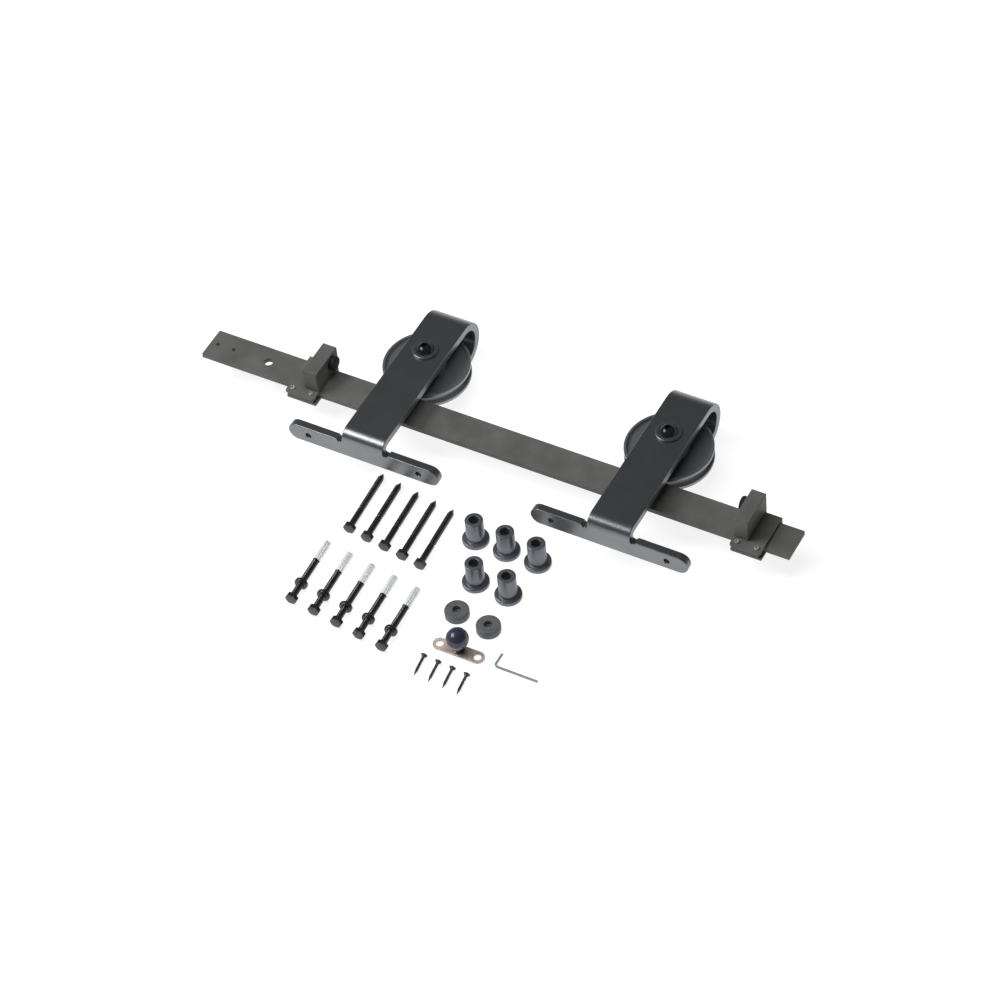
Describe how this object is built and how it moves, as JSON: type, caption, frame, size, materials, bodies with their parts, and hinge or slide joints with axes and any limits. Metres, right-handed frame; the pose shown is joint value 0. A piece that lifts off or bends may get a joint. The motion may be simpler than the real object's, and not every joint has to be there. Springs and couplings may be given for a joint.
{
  "type": "sliding barn door hardware kit",
  "caption": "Flat track with top-mount roller hangers and clamped end stops, laid out with its lag screws, anchors, wall spacers, anti-jump discs, floor guide, wood screws and hex key.",
  "frame": {"origin": "middle of the kit's outline, on the surface that it lies on", "axes": "+X along the track towards the end that continues, +Y up the wall once mounted, +Z from the wall into the room"},
  "size_m": [0.696, 0.4292, 0.071],
  "materials": {
    "track_steel": "satin powder coat",
    "hanger_steel": "fine textured powder coat",
    "wheel_steel": "satin black over turned steel",
    "black_bolt": "semi-gloss black",
    "black_fixing": "black oxide, semi-gloss",
    "spacer_steel": "satin powder coat",
    "disc_plastic": "moulded nylon",
    "bearing_steel": "polished",
    "cage_brass": "pressed",
    "bright_steel": "zinc plated",
    "wood_screw_steel": "black phosphate",
    "key_steel": "bare steel",
    "bumper_rubber": "soft matte",
    "guide_bronze": "bronze plated",
    "guide_ball": "polished"
  },
  "bodies": {
    "track": {"track": "track_steel", "lag_screws": "black_fixing", "anchor_bolts": "black_fixing", "anchor_washers": "black_fixing", "anchor_sleeves": "bright_steel", "wall_spacers": "spacer_steel", "anti_jump_discs": "disc_plastic", "guide_plate": "guide_bronze", "guide_pin": "bright_steel", "wood_screws": "wood_screw_steel", "hex_key": "key_steel"},
    "hanger_left": {"hanger_left_strap": "hanger_steel", "hanger_left_axle_bolt": "black_bolt", "hanger_left_washer": "hanger_steel", "hanger_left_nut": "black_bolt", "hanger_left_bushes": "black_bolt", "hanger_left_inner_race": "bearing_steel"},
    "wheel_left": {"hanger_left_wheel": "wheel_steel", "hanger_left_outer_race": "bearing_steel", "hanger_left_bearing_shields": "bearing_steel"},
    "ball_set_left": {"hanger_left_bearing_balls": "bearing_steel", "hanger_left_bearing_cage": "cage_brass"},
    "hanger_right": {"hanger_right_strap": "hanger_steel", "hanger_right_axle_bolt": "black_bolt", "hanger_right_washer": "hanger_steel", "hanger_right_nut": "black_bolt", "hanger_right_bushes": "black_bolt", "hanger_right_inner_race": "bearing_steel"},
    "wheel_right": {"hanger_right_wheel": "wheel_steel", "hanger_right_outer_race": "bearing_steel", "hanger_right_bearing_shields": "bearing_steel"},
    "ball_set_right": {"hanger_right_bearing_balls": "bearing_steel", "hanger_right_bearing_cage": "cage_brass"},
    "stop_left": {"stop_left_body": "track_steel", "stop_left_back_plate": "track_steel", "stop_left_clamp_screws": "bright_steel", "stop_left_bumper": "bumper_rubber"},
    "stop_right": {"stop_right_body": "track_steel", "stop_right_back_plate": "track_steel", "stop_right_clamp_screws": "bright_steel", "stop_right_bumper": "bumper_rubber"},
    "guide_roller": {"guide_ball": "guide_ball"}
  },
  "joints": [
    {"name": "hanger_left_slide", "type": "slide", "parent": "track", "child": "hanger_left", "axis": [1, 0, 0], "range_m": [-0.055, 0.053]},
    {"name": "wheel_left_spin", "type": "hinge", "parent": "hanger_left", "child": "wheel_left", "pos_m": [-0.1155, 0.1418, 0.0335], "axis": [0, 0, 1], "continuous": true},
    {"name": "ball_set_left_spin", "type": "hinge", "parent": "hanger_left", "child": "ball_set_left", "pos_m": [-0.1155, 0.1418, 0.0335], "axis": [0, 0, 1], "continuous": true},
    {"name": "hanger_right_slide", "type": "slide", "parent": "track", "child": "hanger_right", "axis": [1, 0, 0], "range_m": [-0.053, 0.081]},
    {"name": "wheel_right_spin", "type": "hinge", "parent": "hanger_right", "child": "wheel_right", "pos_m": [0.1725, 0.1418, 0.0335], "axis": [0, 0, 1], "continuous": true},
    {"name": "ball_set_right_spin", "type": "hinge", "parent": "hanger_right", "child": "ball_set_right", "pos_m": [0.1725, 0.1418, 0.0335], "axis": [0, 0, 1], "continuous": true},
    {"name": "stop_left_slide", "type": "slide", "parent": "track", "child": "stop_left", "axis": [1, 0, 0], "range_m": [-0.028, 0]},
    {"name": "stop_right_slide", "type": "slide", "parent": "track", "child": "stop_right", "axis": [1, 0, 0], "range_m": [0, 0.026]},
    {"name": "guide_roller_spin", "type": "hinge", "parent": "track", "child": "guide_roller", "pos_m": [0.084, -0.164, 0.0205], "axis": [0, 0, 1], "continuous": true}
  ],
  "couplings": [
    {"joint": "wheel_left_spin", "follows": "hanger_left_slide", "rad_per_m": -22.988},
    {"joint": "ball_set_left_spin", "follows": "hanger_left_slide", "rad_per_m": -14.534},
    {"joint": "wheel_right_spin", "follows": "hanger_right_slide", "rad_per_m": -22.988},
    {"joint": "ball_set_right_spin", "follows": "hanger_right_slide", "rad_per_m": -14.534}
  ]
}
